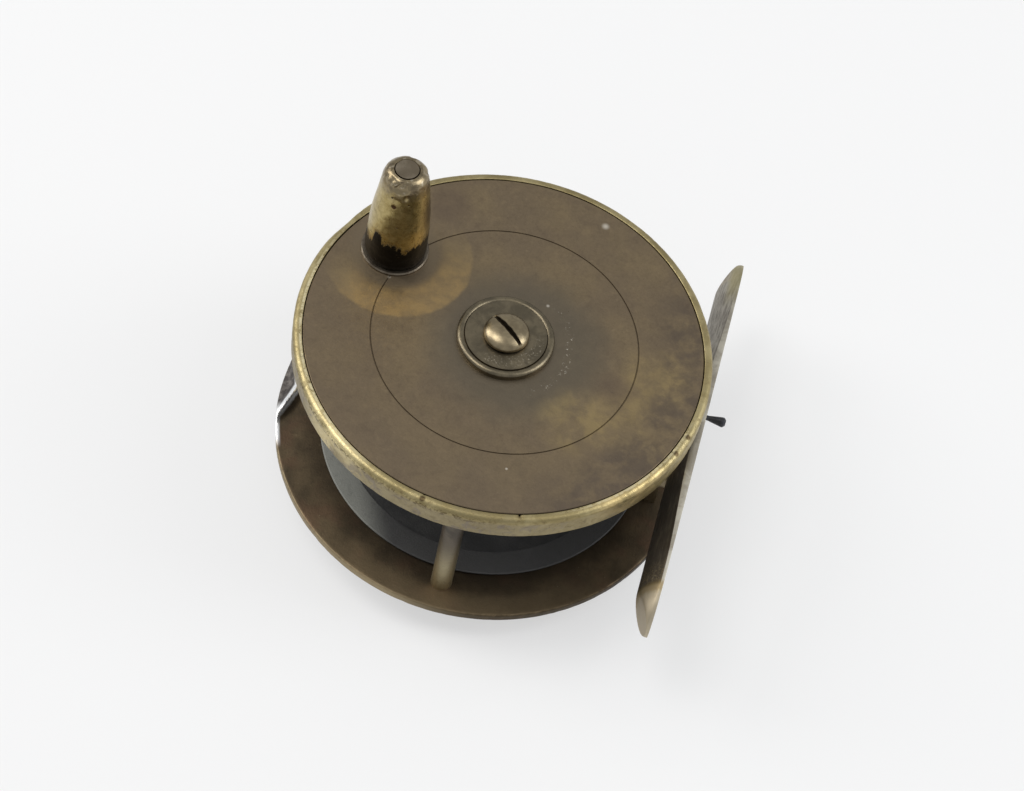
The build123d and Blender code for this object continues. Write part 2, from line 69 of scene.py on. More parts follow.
# Sizes that several pieces or materials share
GROOVE_R = 22.35 * MM
SPOOL_BORE = 3.4 * MM
HUB_LINE_R = HUB_HIGH.x - 1.26 * MM
FLANGE_BORDER = 4.1 * MM
RIM_SPOTS = (-21, -14.5, -98)  # degrees round the rim to three small dark nicks
FILED_FROM = 32.0 * MM
SCREW_HEAD_H = 2.0 * MM
SCREW_EDGE_H = 0.4 * MM
SCREW_FULLNESS = 2.6

# The knock on the back plate's edge: its direction, and the millimetres from the axis to its crease, which
# moves outwards with each degree away from the middle and with the square of the degrees
KNOCK = math.radians(183)
CREASE_R, CREASE_SLANT, CREASE_BOW = 33.4, 0.12, 0.012

# The screws that hold the three pillars and the foot's block to the back plate
PILLAR_R = 31 * MM
PILLARS = [math.radians(degrees) for degrees in (-88.5, 88.5, 180.0)]
SCREW_PLACES = [(PILLAR_R * math.cos(a), PILLAR_R * math.sin(a)) for a in PILLARS]
SCREW_PLACES += [(30.65 * MM, 0)]


# Mesh helpers

def dense(points, step):
    """The same closed outline with its long sides cut into pieces no longer than step."""
    result = []
    for a, b in zip(points, points[1:] + points[:1]):
        pieces = max(1, math.ceil(math.dist(a, b) / step))
        for i in range(pieces):
            t = i / pieces
            result.append((a[0] + (b[0] - a[0]) * t, a[1] + (b[1] - a[1]) * t))
    return result


def arc(centre, radius, start, end, count):
    """Points on an arc, with angles in degrees."""
    points = []
    for i in range(count + 1):
        a = math.radians(start + (end - start) * i / count)
        points.append((centre[0] + radius * math.cos(a), centre[1] + radius * math.sin(a)))
    return points


def finish_mesh(name, verts, faces, sharp=35):
    """A smooth object of these faces, with edges sharper than so many degrees kept sharp."""
    mesh = bpy.data.meshes.new(name)
    mesh.from_pydata(verts, [], faces)
    bm = bmesh.new()
    bm.from_mesh(mesh)
    bmesh.ops.remove_doubles(bm, verts=bm.verts, dist=1e-7)
    bmesh.ops.recalc_face_normals(bm, faces=bm.faces)
    bm.to_mesh(mesh)
    bm.free()
    mesh.shade_smooth()
    mesh.set_sharp_from_angle(angle=math.radians(sharp))
    obj = bpy.data.objects.new(name, mesh)
    bpy.context.scene.collection.objects.link(obj)
    return obj


def sleeve(rings, n, closed):
    """The faces between neighbouring rings of n points. Closed joins the last ring to the first."""
    faces = []
    for i in range(rings if closed else rings - 1):
        a, b = i * n, (i + 1) % rings * n
        for j in range(n):
            k = (j + 1) % n
            faces.append((a + j, b + j, b + k, a + k))
    if not closed:
        faces.append(list(range(n - 1, -1, -1)))
        faces.append([(rings - 1) * n + j for j in range(n)])
    return faces


def lathe(name, outline, segments, centre=(0, 0), worn=None, sharp=35):
    """A closed outline of (radius, height) points turned about a vertical axis. worn moves each vertex."""
    verts = []
    for i in range(segments):
        a = TURN * i / segments
        for r, z in outline:
            p = Vector((r * math.cos(a), r * math.sin(a), z))
            if worn:
                p = worn(p)
            verts.append((p.x + centre[0], p.y + centre[1], p.z))
    return finish_mesh(name, verts, sleeve(segments, len(outline), True), sharp)


def cut(obj, *cutters):
    """Cuts holes in obj with other meshes, and removes those."""
    for cutter in cutters:
        modifier = obj.modifiers.new("cut", "BOOLEAN")
        modifier.object = cutter
        modifier.solver = "EXACT"
    bpy.context.view_layer.update()
    evaluated = obj.evaluated_get(bpy.context.evaluated_depsgraph_get())
    mesh = bpy.data.meshes.new_from_object(evaluated)
    obj.modifiers.clear()
    obj.data = mesh
    for cutter in cutters:
        bpy.data.objects.remove(cutter)


def column(radius, low, high, x, y):
    """A plain cutter that stands between two heights."""
    outline = [(0, low), (radius, low), (radius, high), (0, high)]
    return lathe("cutter", outline, 48, (x, y))


def smooth(low, high, x):
    """From 0 at low to 1 at high, with a soft rise between. Low may be the greater one."""
    t = min(1, max(0, (x - low) / (high - low)))
    return t * t * (3 - 2 * t)


def bump(x, centre, width):
    """1 at the centre, and soon 0 at both sides."""
    return math.exp(-((x - centre) / width) ** 2)


def azimuth(p):
    """Degrees round the spool's axis, from -180 to 180."""
    return math.degrees(math.atan2(p.y, p.x))


def rough(p, size, octaves=3):
    """Soft random height from -1 to 1 with features of that size in metres."""
    return noise.fractal(p / size, 0.9, 2.0, octaves)


# Materials

class Paint:
    """A short way to write a metal's node tree. Positions and sizes in it are millimetres."""

    def __init__(self, name):
        self.material = bpy.data.materials.new(name)
        self.material.use_nodes = True
        self.tree = self.material.node_tree
        self.tree.nodes.clear()
        coordinates = self.node("ShaderNodeTexCoord").outputs["Object"]
        self.place = self.vector("SCALE", coordinates, scale=1 / MM)
        self.normal = self.node("ShaderNodeTexCoord").outputs["Normal"]

    def node(self, kind, **settings):
        made = self.tree.nodes.new(kind)
        for key, value in settings.items():
            setattr(made, key, value)
        return made

    def feed(self, socket, value):
        if isinstance(value, bpy.types.NodeSocket):
            self.tree.links.new(value, socket)
        elif isinstance(value, tuple) and socket.type == "RGBA":
            socket.default_value = (*value, 1)[:4]
        else:
            socket.default_value = value

    def math(self, operation, *values):
        made = self.node("ShaderNodeMath", operation=operation)
        for socket, value in zip(made.inputs, values):
            self.feed(socket, value)
        return made.outputs[0]

    def add(self, *values):
        total = values[0]
        for value in values[1:]:
            total = self.math("ADD", total, value)
        return total

    def mul(self, *values):
        total = values[0]
        for value in values[1:]:
            total = self.math("MULTIPLY", total, value)
        return total

    def sub(self, a, b):
        return self.math("SUBTRACT", a, b)

    def most(self, a, b):
        return self.math("MAXIMUM", a, b)

    def vector(self, operation, a, b=None, scale=None):
        made = self.node("ShaderNodeVectorMath", operation=operation)
        self.feed(made.inputs[0], a)
        if b is not None:
            self.feed(made.inputs[1], b)
        if scale is not None:
            made.inputs["Scale"].default_value = scale
        is_number = operation in ("DISTANCE", "LENGTH", "DOT_PRODUCT")
        return made.outputs["Value" if is_number else "Vector"]

    def toward(self, x, y):
        """How far a place lies from the axis in this direction."""
        return self.vector("DOT_PRODUCT", self.place, (x, y, 0))

    def xyz(self, vector=None):
        parts = self.node("ShaderNodeSeparateXYZ")
        self.feed(parts.inputs[0], self.place if vector is None else vector)
        return parts.outputs

    def flat(self, vector=None):
        """The place with its height taken out."""
        return self.vector("MULTIPLY", self.place if vector is None else vector, (1, 1, 0))

    def noise(self, size, detail=4.0, roughness=0.55, distortion=0.0, where=None):
        made = self.node("ShaderNodeTexNoise")
        self.feed(made.inputs["Vector"], self.place if where is None else where)
        made.inputs["Scale"].default_value = 1 / size
        made.inputs["Detail"].default_value = detail
        made.inputs["Roughness"].default_value = roughness
        made.inputs["Distortion"].default_value = distortion
        return made.outputs["Fac"]

    def swing(self, value, amount):
        """A noise moved to swing round zero, by half the amount each way."""
        return self.mul(self.sub(value, 0.5), amount)

    def dots(self, size, full, none):
        """Round dots about this far apart, with their radii as shares of that."""
        made = self.node("ShaderNodeTexVoronoi")
        self.feed(made.inputs["Vector"], self.place)
        made.inputs["Scale"].default_value = 1 / size
        return self.fall(made.outputs["Distance"], full, none)

    def step(self, value, low, high, out_low=0.0, out_high=1.0):
        """From 0 at low to 1 at high, with a soft rise between. Low may be the greater one."""
        made = self.node("ShaderNodeMapRange", interpolation_type="SMOOTHSTEP")
        for socket, number in zip(made.inputs, (value, low, high, out_low, out_high)):
            self.feed(socket, number)
        return made.outputs[0]

    def fall(self, value, low, high):
        """1 below low and 0 above high."""
        return self.step(value, low, high, 1.0, 0.0)

    def band(self, value, low, high, soft):
        """1 between low and high."""
        rise = self.step(value, low - soft, low + soft)
        return self.mul(rise, self.fall(value, high - soft, high + soft))

    def mix(self, amount, a, b):
        """Colour a with this share of colour b over it."""
        made = self.node("ShaderNodeMix", data_type="RGBA")
        self.feed(made.inputs[0], amount)
        self.feed(made.inputs[6], a)
        self.feed(made.inputs[7], b)
        return made.outputs[2]

    def from_axis(self, x, y):
        """Distance from a vertical line."""
        return self.vector("LENGTH", self.flat(self.vector("SUBTRACT", self.place, (x, y, 0))))

    def spot(self, x, y, z, radius, soft):
        """1 inside a ball, falling to 0 over soft."""
        return self.fall(self.vector("DISTANCE", self.place, (x, y, z)), radius, radius + soft)

    def finish(self, color, roughness, height, relief, metallic=1.0):
        """The finished material, with bumps up to relief high."""
        shader = self.node("ShaderNodeBsdfPrincipled")
        self.feed(shader.inputs["Base Color"], color)
        self.feed(shader.inputs["Roughness"], roughness)
        self.feed(shader.inputs["Metallic"], metallic)
        made = self.node("ShaderNodeBump")
        made.inputs["Distance"].default_value = relief * MM
        made.inputs["Strength"].default_value = 1.0
        self.feed(made.inputs["Height"], height)
        self.feed(shader.inputs["Normal"], made.outputs[0])
        output = self.node("ShaderNodeOutputMaterial")
        self.tree.links.new(shader.outputs[0], output.inputs["Surface"])
        return self.material


def srgb(r, g, b):
    """A colour given as it shows on screen, 0 to 255, as linear light."""
    return tuple(((c / 255 + 0.055) / 1.055) ** 2.4 if c > 10 else c / 255 / 12.92 for c in (r, g, b))


def metal(r, g, b):
    """The base colour of a metal that shows as this colour when it mirrors the studio."""
    return tuple(min(1.0, c / STUDIO_LEVEL) for c in srgb(r, g, b))


def plate_bronze():
    """Even brown patina of the winding plate: golden in a crescent beside the handle, grey round the hub."""
    p = Paint("plate_bronze")
    top = PLATE_TOP / MM
    broad = p.noise(9, 3, 0.5)
    mottle = p.noise(1.8, 6, 0.65, 0.6)
    grain = p.noise(0.35, 3, 0.6)
    color = p.mix(p.step(broad, 0.35, 0.68), metal(108, 95, 77), metal(115, 101, 79))
    color = p.mix(p.mul(p.step(mottle, 0.52, 0.74), 0.2), color, metal(128, 112, 85))
    color = p.mix(p.mul(p.step(mottle, 0.48, 0.28), 0.3), color, metal(95, 82, 69))
    color = p.mix(p.mul(p.step(p.noise(0.5, 5, 0.75), 0.42, 0.66), 0.22), color, metal(84, 73, 60))
    color = p.mix(p.mul(p.step(p.noise(0.7, 5, 0.75, 0.4), 0.56, 0.7), 0.16), color, metal(140, 124, 100))

    r = p.from_axis(0, 0)
    wobble = p.swing(p.noise(4, 3), 4)
    hub = p.fall(p.add(p.from_axis(2.2, -0.6), wobble), 10, 18)
    scuffs = p.mul(p.step(p.noise(0.9, 6, 0.8, 1.2), 0.6, 0.7), p.step(p.noise(5, 2), 0.48, 0.58))
    color = p.mix(p.mul(scuffs, 0.4), color, metal(84, 74, 62))
    color = p.mix(p.mul(hub, 0.75), color, metal(95, 88, 76))
    front = p.step(p.toward(-0.3, -0.95), 4, 26)
    color = p.mix(p.mul(front, 0.35), color, metal(94, 83, 70))

    golden = p.step(p.noise(3.2, 5, 0.55, 0.3), 0.36, 0.66)
    golden = p.add(0.25, p.mul(golden, 0.75))
    for sx, sy, radius in ((25.5, 0.5, 3), (15, -12, 3), (22, -9, 2)):
        patch = p.mul(p.spot(sx, sy, top, radius, 5), golden, 0.55)
        color = p.mix(patch, color, metal(145, 127, 88))
    stains = p.step(p.noise(3.0, 5, 0.6, 0.2), 0.34, 0.64)
    edge = p.mul(p.step(r, 24, 29), p.step(p.toward(0.98, -0.22), 16, 25))
    color = p.mix(p.mul(edge, stains, 0.7), color, metal(84, 75, 67))
    for sx, sy, radius in ((-16, 24, 1.5), (19.8, -3.6, 0.8)):
        color = p.mix(p.mul(p.spot(sx, sy, top, radius, 4), 0.45), color, metal(86, 74, 66))

    near = p.from_axis(HANDLE_X, HANDLE_Y)
    off = p.from_axis(HANDLE_X + 0.9, HANDLE_Y - 1.1)
    off = p.add(off, p.swing(p.noise(2.5, 3), 0.9))
    towards = p.vector("SUBTRACT", p.place, (HANDLE_X, HANDLE_Y, 0))
    side = p.math("DIVIDE", p.vector("DOT_PRODUCT", p.flat(towards), (0.57, -0.82, 0)), p.most(near, 0.1))
    # A golden crescent round the handle, on one side of it.
    ring = p.mul(p.step(near, 7.2, 9.4), p.fall(off, 12.2, 13.0))
    pale_zone = p.mul(ring, p.step(side, -0.25, 0.6))
    patchy = p.add(0.55, p.mul(p.step(p.noise(2.2, 4, 0.55), 0.35, 0.65), 0.45))
    gold = p.mix(p.step(side, 0.1, 0.9), metal(128, 112, 83), metal(143, 121, 84))
    color = p.mix(p.mul(pale_zone, patchy, 0.9), color, gold)
    color = p.mix(p.mul(p.fall(near, 6.4, 8.6), 0.6), color, metal(112, 100, 82))

    groove = p.band(r, GROOVE_R / MM - 0.1, GROOVE_R / MM + 0.1, 0.05)
    color = p.mix(p.mul(groove, 0.55), color, metal(62, 53, 43))

    specks = p.dots(1.7, 0.03, 0.08)
    specks = p.mul(specks, p.step(p.noise(6, 2), 0.54, 0.62))
    color = p.mix(p.mul(specks, 0.45), color, metal(66, 57, 48))
    crust = p.mul(p.band(p.add(r, p.mul(wobble, 0.25)), 10.4, 11.6, 0.3), p.step(p.xyz()[0], 5, 9))
    crust = p.mul(crust, p.step(p.noise(0.5, 4, 0.7), 0.58, 0.68))
    color = p.mix(p.mul(crust, 0.6), color, metal(165, 160, 148))
    for sx, sy, radius in ((10.5, 28.7, 0.35), (5.1, 9.0, 0.16), (6.5, -24.3, 0.12), (-21.6, 5.6, 0.16)):
        fleck = p.spot(sx, sy, top, radius * 0.2, radius * 2.4)
        color = p.mix(p.mul(fleck, 0.75), color, metal(190, 183, 170))

    roughness = p.add(0.42, p.swing(mottle, 0.2), p.mul(hub, -0.05), p.mul(grain, 0.06))
    height = p.add(p.mul(mottle, 0.4), p.mul(grain, 0.5), p.mul(specks, -0.4), p.mul(crust, 0.5))
    return p.finish(color, roughness, height, 0.035)


def rim_brass():
    """Olive brass, pale in places from wear and from painted highlights, with violet brown stains and crusts
    near its outer wall.
    """
    p = Paint("rim_brass")
    broad = p.noise(6, 4, 0.6, 0.5)
    mottle = p.noise(1.1, 6, 0.7, 0.8)
    grain = p.noise(0.25, 3, 0.6)
    color = p.mix(p.step(broad, 0.35, 0.65), metal(128, 116, 82), metal(154, 142, 106))
    color = p.mix(p.mul(p.step(mottle, 0.54, 0.68), 0.45), color, metal(92, 78, 58))
    color = p.mix(p.mul(p.step(mottle, 0.42, 0.3), 0.35), color, metal(170, 158, 124))
    top, out = RIM_HIGH.z / MM, RIM_HIGH.x / MM
    z = p.xyz()[2]
    wall = p.step(z, top - 0.7, top - 1.4)
    away = p.step(p.toward(-0.62, -0.78), 4, 24)
    wall = p.mul(wall, away)
    color = p.mix(p.mul(wall, 0.7), color, metal(122, 112, 89))
    # Patches round the rim: the two pale ones are painted highlights where the lamps catch the rim, the dark
    # one is a stain.
    highlight_and_stain_patches = (
        (-129, 0.7, metal(198, 184, 142)),
        (-38, 0.7, metal(190, 168, 118)),
        (-82, 0.5, metal(98, 88, 66)),
    )
    for degrees, share, tone in highlight_and_stain_patches:
        a = math.radians(degrees)
        stretch = p.spot(34.2 * math.cos(a), 34.2 * math.sin(a), top, 2, 8)
        color = p.mix(p.mul(stretch, share, p.step(broad, 0.3, 0.6)), color, tone)
    violet = p.mul(wall, p.step(p.noise(2.4, 5, 0.65, 0.6), 0.52, 0.6))
    color = p.mix(p.mul(violet, 0.5), color, metal(102, 94, 90))
    crust = p.mul(p.band(z, top - 1.5, top - 0.5, 0.25),
                  p.step(p.noise(0.6, 6, 0.75, 0.5), 0.48, 0.58),
                  p.step(p.toward(-0.45, -0.89), 24, 31))
    color = p.mix(p.mul(crust, 0.75), color, metal(74, 62, 40))
    for degrees in RIM_SPOTS:
        a = math.radians(degrees)
        spot = p.spot(34.3 * math.cos(a), 34.3 * math.sin(a), top - 0.15, 0.3, 0.35)
        color = p.mix(p.mul(spot, 0.85), color, metal(70, 56, 38))
    # A pale line along the rim's top on the left and right: worn metal and a painted highlight where the side
    # lamps catch it.
    left = p.step(p.toward(-0.93, -0.36), 22, 32)
    right = p.step(p.toward(0.82, -0.57), 29, 34)
    worn = p.mul(p.add(p.mul(left, 0.7), p.mul(right, 0.6)),
                 p.band(p.from_axis(0, 0), out - 1.45, out - 1.0, 0.15))
    color = p.mix(p.mul(worn, p.step(mottle, 0.62, 0.45), 0.85), color, metal(225, 214, 178))
    pits = p.dots(0.9, 0.05, 0.14)
    pits = p.mul(pits, p.step(p.noise(3, 3), 0.52, 0.6))
    color = p.mix(p.mul(pits, 0.7), color, metal(62, 52, 38))
    roughness = p.add(0.38, p.mul(p.step(mottle, 0.4, 0.7), 0.2), p.mul(grain, 0.08))
    height = p.add(p.mul(mottle, 0.5), p.mul(grain, 0.4), p.mul(pits, -0.7), p.mul(crust, 0.4))
    return p.finish(color, roughness, height, 0.05)


def stained_brass():
    """Dark brown brass of the back, with painted shade inside the pillars, a painted lit band at the front
    and a painted lit and shaded edge. Where a knock turned its edge up the metal is grey, and its crease and
    the border beside it are worn metal painted near white as a painted highlight.
    """
    p = Paint("stained_brass")
    out = REAR_HIGH.x / MM
    broad = p.noise(6, 3, 0.5)
    mottle = p.noise(1.2, 6, 0.7)
    grain = p.noise(0.3, 3, 0.6)
    color = p.mix(p.step(broad, 0.32, 0.7), metal(74, 65, 52), metal(100, 87, 68))
    color = p.mix(p.mul(p.step(mottle, 0.46, 0.72), 0.45), color, metal(62, 54, 45))
    color = p.mix(p.mul(p.step(p.noise(7, 3), 0.48, 0.66), 0.45), color, metal(96, 74, 60))
    color = p.mix(p.mul(p.dots(2.1, 0.02, 0.06), 0.5), color, metal(140, 128, 104))
    r = p.from_axis(0, 0)
    # Painted shade: the back plate is painted darker inside the pillars, where the front rim and the spool
    # shade it.
    painted_inner_shade = p.fall(r, 29.3, 32.8)
    color = p.mix(p.mul(painted_inner_shade, 0.55), color, metal(54, 47, 39))
    # Painted light: a paler band near the edge at the front, where the lamps reach past the front rim.
    front = p.step(p.toward(0.1, -0.99), 22, 32)
    color = p.mix(p.mul(front, p.step(r, 31.5, 33.5), 0.6), color, metal(112, 98, 76))
    # The edge is painted pale, worn metal with a painted highlight, and painted dark on the side towards the
    # foot as painted shade.
    dull = p.step(p.toward(0.7, -0.71), 18, 32)
    edge = p.step(p.add(r, p.swing(mottle, 0.7)), out - 0.35, out)
    color = p.mix(p.mul(edge, 0.65), color, p.mix(dull, metal(150, 136, 108), metal(34, 29, 24)))

    along = p.toward(math.cos(KNOCK), math.sin(KNOCK))
    across = p.toward(-math.sin(KNOCK), math.cos(KNOCK))
    turn = p.mul(p.math("ARCTAN2", across, along), math.degrees(1))
    away = p.math("ABSOLUTE", turn)
    crease = p.add(CREASE_R, p.mul(away, CREASE_SLANT), p.mul(away, away, CREASE_BOW))
    beyond = p.sub(p.add(r, p.swing(mottle, 0.35)), crease)
    upper = p.step(p.xyz(p.normal)[2], -0.6, -0.3)
    bent = p.mul(p.band(turn, -8, 11.5, 1.2), upper)
    slope = p.mul(p.step(beyond, 0.1, 0.5), bent)
    steel_grey = p.mix(p.step(mottle, 0.4, 0.6), metal(62, 60, 60), metal(96, 93, 90))
    color = p.mix(p.mul(slope, 0.9), color, steel_grey)
    # Painted highlight: the crease and the border beside it are worn metal painted near white.
    ridge = p.mul(p.band(beyond, -0.8, 0.55, 0.25), bent)
    border = p.mul(p.step(r, out - 0.9, out - 0.45), p.band(turn, 8, 19, 2.5), upper)
    bare_and_glint = p.most(ridge, border)
    color = p.mix(p.mul(bare_and_glint, 0.95), color, metal(240, 237, 230))
    roughness = p.add(0.42, p.mul(mottle, 0.16), p.mul(grain, 0.08), p.mul(bare_and_glint, -0.2))
    height = p.add(p.mul(mottle, 0.6), p.mul(grain, 0.4))
    return p.finish(color, roughness, height, 0.05)


def foot_brass():
    """The foot: dark brown towards the reel, grey and scratched where it is filed, golden at its borders."""
    p = Paint("foot_brass")
    x, y = p.xyz()[:2]
    along = p.vector("MULTIPLY", p.place, (1, 0.12, 1))
    streaks = p.noise(0.5, 5, 0.7, 0.2, along)
    broad = p.noise(5, 4, 0.6, 0.6)
    mottle = p.noise(1.0, 6, 0.7, 0.6)
    color = p.mix(p.step(broad, 0.36, 0.66), metal(136, 130, 118), metal(168, 163, 150))
    color = p.mix(p.mul(p.step(streaks, 0.5, 0.7), 0.35), color, metal(168, 162, 148))
    color = p.mix(p.mul(p.step(mottle, 0.52, 0.68), 0.35), color, metal(92, 84, 72))
    reach = p.math("ABSOLUTE", y)
    back = p.fall(p.xyz(p.normal)[0], -0.3, -0.12)
    near = p.fall(y, -12, 4)
    brown = p.mix(p.step(streaks, 0.45, 0.7), metal(66, 57, 46), metal(96, 86, 70))
    color = p.mix(p.mul(back, near, 0.9), color, brown)
    scratched = p.mul(p.band(y, -31.6, -28.2, 1.0), p.step(p.noise(0.3, 5, 0.75, 0.3), 0.52, 0.62), back)
    color = p.mix(p.mul(scratched, 0.6), color, metal(150, 134, 98))
    far = p.step(y, 3, 12)
    streaked = p.mix(p.step(streaks, 0.42, 0.62), metal(136, 132, 124), metal(88, 83, 77))
    color = p.mix(p.mul(back, far, 0.8), color, streaked)
    filed = p.step(reach, FILED_FROM / MM - 0.4, FILED_FROM / MM + 0.4)
    facet = p.mul(filed, p.sub(0.85, p.mul(far, 0.55)))
    color = p.mix(facet, color, metal(160, 149, 128))
    golden = p.mul(p.step(y, 24, 32), p.step(x, 33.4, 34.4), 0.6)
    color = p.mix(golden, color, metal(140, 132, 92))
    border = p.band(p.add(y, p.swing(mottle, 1.2)), -33.2, -31.5, 0.5)
    color = p.mix(p.mul(border, 0.6), color, metal(122, 104, 66))
    roughness = p.add(0.36, p.mul(mottle, 0.18), p.mul(streaks, 0.1))
    height = p.add(p.mul(mottle, 0.4), p.mul(streaks, 0.5))
    return p.finish(color, roughness, height, 0.04)


def handle_brass():
    """The knob: olive brass, greyer on top, with a ragged black patina that climbs from its foot."""
    p = Paint("handle_brass")
    up = p.sub(p.xyz()[2], PLATE_TOP / MM)
    near = p.most(p.from_axis(HANDLE_X, HANDLE_Y), 0.1)
    towards = p.flat(p.vector("SUBTRACT", p.place, (HANDLE_X, HANDLE_Y, 0)))

    def facing(degrees, narrow):
        """1 on the side that faces this way, less round the knob."""
        a = math.radians(degrees)
        cosine = p.math("DIVIDE", p.vector("DOT_PRODUCT", towards, (math.cos(a), math.sin(a), 0)), near)
        return p.step(cosine, narrow, 1.0)

    mottle = p.noise(1.0, 6, 0.7, 0.5)
    upright = p.vector("MULTIPLY", p.place, (1, 1, 0.4))
    ragged = p.noise(0.8, 6, 0.7, 0.2, upright)
    grain = p.noise(0.25, 3, 0.6)
    color = p.mix(p.step(mottle, 0.35, 0.65), metal(136, 121, 78), metal(160, 145, 102))
    stains = p.step(p.noise(2.2, 6, 0.7, 0.6), 0.54, 0.62)
    color = p.mix(p.mul(stains, 0.3), color, metal(92, 76, 48))
    color = p.mix(p.mul(facing(5, 0.75), p.band(up, 10, 15, 1.5), 0.6), color, metal(66, 52, 38))
    grey = p.step(p.add(up, p.swing(mottle, 4)), 17, 20)
    color = p.mix(p.mul(grey, 0.8), color, metal(114, 103, 86))
    brown_spots = p.mul(grey, p.step(p.noise(1.5, 5, 0.65, 0.4), 0.5, 0.58))
    color = p.mix(p.mul(brown_spots, 0.5), color, metal(72, 63, 52))
    pale_spots = p.mul(grey, p.step(p.noise(1.2, 4, 0.6, 0.3), 0.58, 0.64))
    color = p.mix(p.mul(pale_spots, 0.55), color, metal(170, 160, 140))
    climb = p.add(5.3, p.mul(facing(-120, 0.975), 3.4), p.mul(facing(-90, 0.88), 1.7),
                  p.mul(facing(-15, 0.6), 1.4))
    edge = p.sub(p.add(up, p.swing(ragged, 5)), climb)
    black = p.fall(edge, -0.25, 0.25)
    drops = p.mul(p.step(p.noise(0.4, 4, 0.7), 0.58, 0.63), p.fall(edge, 0.3, 2.4))
    black = p.most(black, drops)
    color = p.mix(black, color, metal(25, 22, 19))
    halo = p.mul(p.fall(edge, 0.0, 1.2), p.sub(1.0, black), 0.6)
    color = p.mix(halo, color, metal(78, 62, 42))
    pits = p.dots(1.6, 0.08, 0.18)
    pits = p.mul(pits, p.step(p.noise(3, 3), 0.52, 0.58))
    color = p.mix(p.mul(pits, 0.85), color, metal(46, 36, 28))
    a, scar_r, scar_up = math.radians(-98), 4.5, 16.2
    scar = p.spot(HANDLE_X + scar_r * math.cos(a), HANDLE_Y + scar_r * math.sin(a), PLATE_TOP / MM + scar_up,
                  0.42, 0.22)
    color = p.mix(p.mul(scar, 0.9), color, metal(58, 34, 26))
    roughness = p.add(0.2, p.mul(black, 0.16), p.mul(grey, 0.02), p.mul(mottle, 0.12), p.mul(grain, 0.06))
    height = p.add(p.mul(mottle, 0.4), p.mul(black, 0.5), p.mul(pits, -0.8), p.mul(scar, -0.8),
                   p.mul(grain, 0.2))
    return p.finish(color, roughness, height, 0.05)


def screw_bronze():
    """Pale brown bronze of the centre screw, darker in its slot and where it meets the disc."""
    p = Paint("screw_bronze")
    mottle = p.noise(1.2, 5, 0.6, 0.3)
    grain = p.noise(0.25, 3, 0.6)
    color = p.mix(p.step(mottle, 0.35, 0.68), metal(116, 105, 84), metal(134, 122, 98))
    up = p.sub(p.xyz()[2], (SCREW_HIGH.z - SCREW_HEAD_H) / MM)
    share = p.math("DIVIDE", p.from_axis(0, 0), SCREW_HIGH.x / MM)
    dome_h = (SCREW_HEAD_H - SCREW_EDGE_H) / MM
    height = p.math("DIVIDE", p.most(p.sub(up, SCREW_EDGE_H / MM), 0.0), dome_h)
    filled = p.add(p.math("POWER", share, SCREW_FULLNESS), p.mul(height, height))
    # Darker in the slot and at the foot of the head.
    dark_in_slot = p.fall(filled, 0.78, 0.93)
    foot = p.fall(up, 0.05, 0.4)
    color = p.mix(p.mul(p.most(dark_in_slot, foot), 0.93), color, metal(34, 28, 22))
    roughness = p.add(0.24, p.mul(mottle, 0.1), p.mul(grain, 0.06), p.mul(dark_in_slot, 0.4))
    return p.finish(color, roughness, p.add(p.mul(mottle, 0.4), p.mul(grain, 0.4)), 0.02)


def flange_grey():
    """Dull grey oxidised metal on the rear flange of the spool: it scatters light more than it mirrors. Its
    border is painted paler on the left as painted light, where the left lamp reaches in under the rim.
    """
    p = Paint("flange_grey")
    broad = p.noise(5, 4, 0.55)
    mottle = p.noise(1.1, 6, 0.7, 0.3)
    grain = p.noise(0.3, 4, 0.65)
    color = p.mix(p.step(broad, 0.35, 0.68), (0.026, 0.026, 0.026), (0.04, 0.039, 0.038))
    border_r = (FLANGE_HIGH.x - FLANGE_BORDER) / MM
    border = p.step(p.from_axis(0, 0), border_r - 0.15, border_r)
    # Painted light: the border is paler on the left, where the left lamp shines in under the front rim.
    pale_zone = p.step(p.toward(-0.906, -0.423), 19, 25)
    border_oxide_and_light = p.mix(pale_zone, (0.052, 0.051, 0.05), (0.24, 0.242, 0.215))
    color = p.mix(p.mul(border, 0.9), color, border_oxide_and_light)
    color = p.mix(p.mul(p.step(mottle, 0.5, 0.75), 0.3), color, (0.03, 0.029, 0.028))
    roughness = p.add(0.5, p.mul(mottle, 0.15), p.mul(grain, 0.05))
    return p.finish(color, roughness, p.add(p.mul(mottle, 0.6), p.mul(grain, 0.5)), 0.1, 0.1)


def worn_metal(name, dark, light, stain, roughness=0.38):
    """Old metal in two tones with stains."""
    p = Paint(name)
    broad = p.noise(4, 5, 0.6, 0.5)
    mottle = p.noise(0.9, 6, 0.7, 0.6)
    grain = p.noise(0.25, 3, 0.6)
    color = p.mix(p.step(broad, 0.36, 0.66), dark, light)
    color = p.mix(p.mul(p.step(mottle, 0.52, 0.68), 0.55), color, stain)
    rough_map = p.add(roughness, p.swing(mottle, 0.25), p.mul(grain, 0.06))
    return p.finish(color, rough_map, p.add(p.mul(mottle, 0.5), p.mul(grain, 0.3)), 0.05)


def pillar_brass():
    """Pillars: grey brown near the rim, painted paler and more golden lower down as painted light against the
    back plate's shade.
    """
    p = Paint("pillar_brass")
    z = p.xyz()[2]
    mottle = p.noise(0.9, 6, 0.7, 0.6)
    broad = p.noise(3, 4, 0.6, 0.5)
    color = p.mix(p.step(broad, 0.36, 0.66), metal(64, 59, 52), metal(84, 77, 67))
    # Painted light: the lower part of each pillar is painted paler.
    pale_zone = p.mul(p.step(p.add(z, p.swing(broad, 8)), 24, 8), 0.8)
    color = p.mix(pale_zone, color, metal(170, 159, 128))
    color = p.mix(p.mul(p.step(mottle, 0.54, 0.68), 0.45), color, metal(84, 76, 70))
    roughness = p.add(0.32, p.mul(mottle, 0.2))
    return p.finish(color, roughness, mottle, 0.025)


